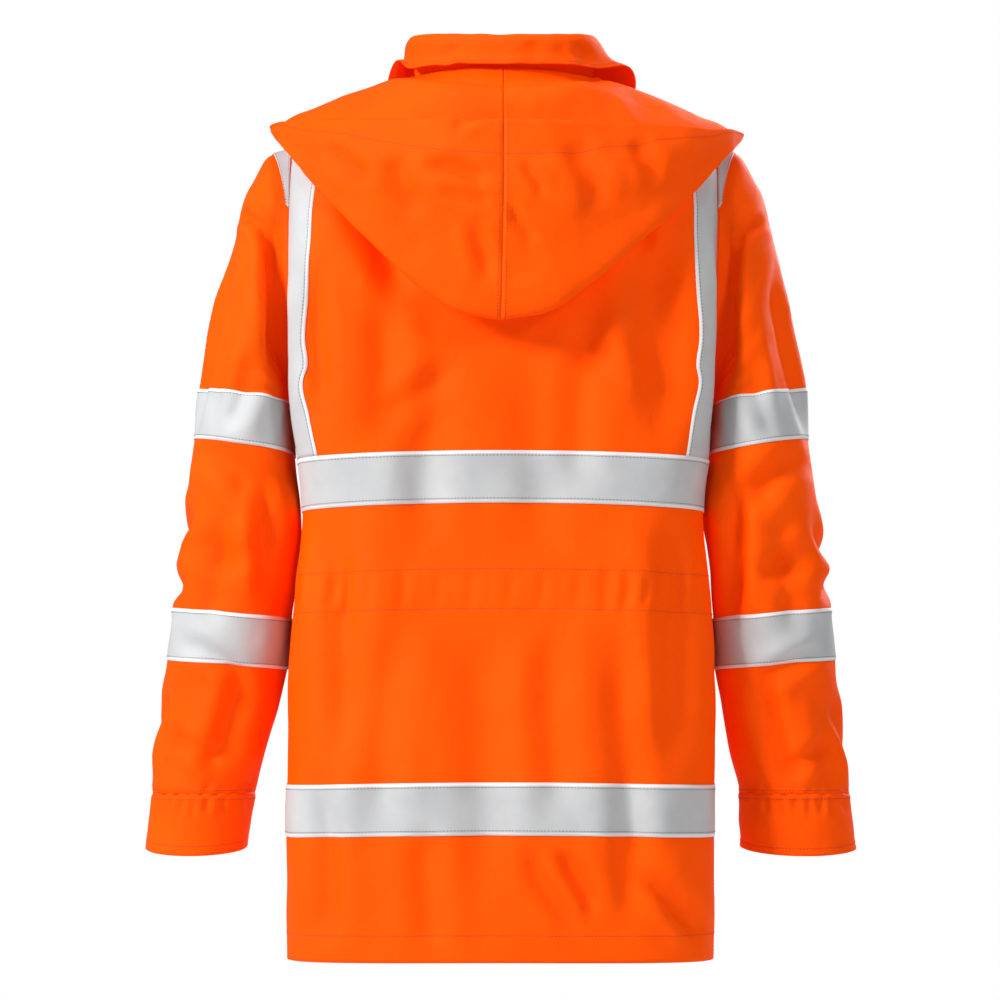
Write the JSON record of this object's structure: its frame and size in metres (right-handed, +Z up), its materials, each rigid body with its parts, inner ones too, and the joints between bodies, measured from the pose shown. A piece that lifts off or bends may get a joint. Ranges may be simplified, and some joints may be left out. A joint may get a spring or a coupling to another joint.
{
  "type": "hi-vis work jacket",
  "caption": "Orange high-visibility hooded parka with reflective tapes, filled out as if worn, sleeves hanging and hood laid back.",
  "frame": {"origin": "on the centre line between the shoulders, level with the middle of the shoulder seams, where the wearer's shoulders carry the jacket", "axes": "+Z up, from hem to collar; +Y forwards, out of the jacket's front; +X towards the wearer's right"},
  "size_m": [0.701, 0.3068, 0.9053],
  "materials": {
    "coated_cloth": "fluorescent orange coated oxford cloth, soft satin",
    "reflective_tape": "silver-grey reflective tape, fine bead sheen"
  },
  "bodies": {
    "root": {"back_panel": "coated_cloth", "brace_left": "reflective_tape", "brace_right": "reflective_tape", "chest_band_back": "reflective_tape", "chest_band_flap": "reflective_tape", "chest_band_front_left": "reflective_tape", "chest_band_front_right": "reflective_tape", "collar": "coated_cloth", "cuff_left": "coated_cloth", "cuff_right": "coated_cloth", "front_left": "coated_cloth", "front_right": "coated_cloth", "hem_band_back": "reflective_tape", "hem_band_flap": "reflective_tape", "hem_band_front_left": "reflective_tape", "hem_band_front_right": "reflective_tape", "hood_left": "coated_cloth", "hood_right": "coated_cloth", "shoulder_tape_left": "reflective_tape", "shoulder_tape_right": "reflective_tape", "sleeve_band_lower_left": "reflective_tape", "sleeve_band_lower_right": "reflective_tape", "sleeve_band_upper_left": "reflective_tape", "sleeve_band_upper_right": "reflective_tape", "sleeve_left": "coated_cloth", "sleeve_right": "coated_cloth", "storm_flap": "coated_cloth"}
  },
  "joints": []
}
